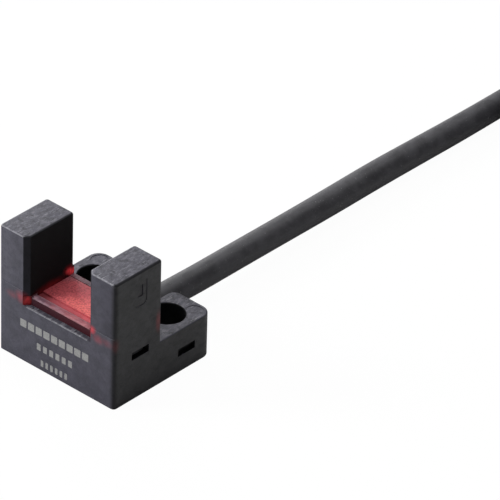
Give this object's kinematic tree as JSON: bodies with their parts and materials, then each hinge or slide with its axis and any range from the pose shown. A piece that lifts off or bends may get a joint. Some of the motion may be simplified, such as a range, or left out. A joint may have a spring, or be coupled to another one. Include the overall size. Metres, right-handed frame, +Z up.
{
  "type": "fork sensor",
  "caption": "Small fork sensor: a black case with a slot between two hollow posts, a red lit slot floor, two screw ears and a cable with stripped cores.",
  "frame": {"origin": "middle of the case's underside, at the centre of its outline without the cable", "axes": "+X across the slot from one post to the other, -Y the front of the fork, +Y the side where the cable leaves, +Z up"},
  "size_m": [0.0239, 0.0971, 0.0108],
  "materials": {
    "case_black": "fine spark-eroded matte",
    "display_red": "translucent gloss",
    "cover_black": "matte",
    "board_green": "solder mask",
    "optic_dark": "tinted epoxy",
    "tinned_metal": "tinned",
    "solder": "bright",
    "lamp_resin": "clear resin",
    "chip_black": "moulded epoxy",
    "resistor_body": "glazed",
    "capacitor_body": "ceramic",
    "jacket_grey": "matte vinyl",
    "core_brown": "vinyl",
    "core_black": "vinyl",
    "core_white": "vinyl",
    "core_blue": "vinyl",
    "tie_black": "nylon"
  },
  "bodies": {
    "root": {"housing": "case_black", "display_cover": "display_red", "bottom_cover": "cover_black", "circuit_board": "board_green", "infrared_emitter": "optic_dark", "phototransistor": "optic_dark", "emitter_legs": "tinned_metal", "phototransistor_legs": "tinned_metal", "solder_joints": "solder", "operation_lamp_left": "lamp_resin", "operation_lamp_right": "lamp_resin", "lamp_resistor_left": "resistor_body", "lamp_resistor_right": "resistor_body", "emitter_resistor": "resistor_body", "supply_capacitor": "capacitor_body", "filter_capacitor": "capacitor_body", "amplifier_chip": "chip_black", "output_transistor_left": "chip_black", "output_transistor_right": "chip_black", "reverse_diode": "chip_black", "brown_core": "core_brown", "black_core": "core_black", "white_core": "core_white", "blue_core": "core_blue", "cable": "jacket_grey", "cable_coil": "jacket_grey", "coil_tie": "tie_black", "free_brown_core": "core_brown", "free_black_core": "core_black", "free_white_core": "core_white", "free_blue_core": "core_blue", "bare_tips": "tinned_metal"}
  },
  "joints": []
}
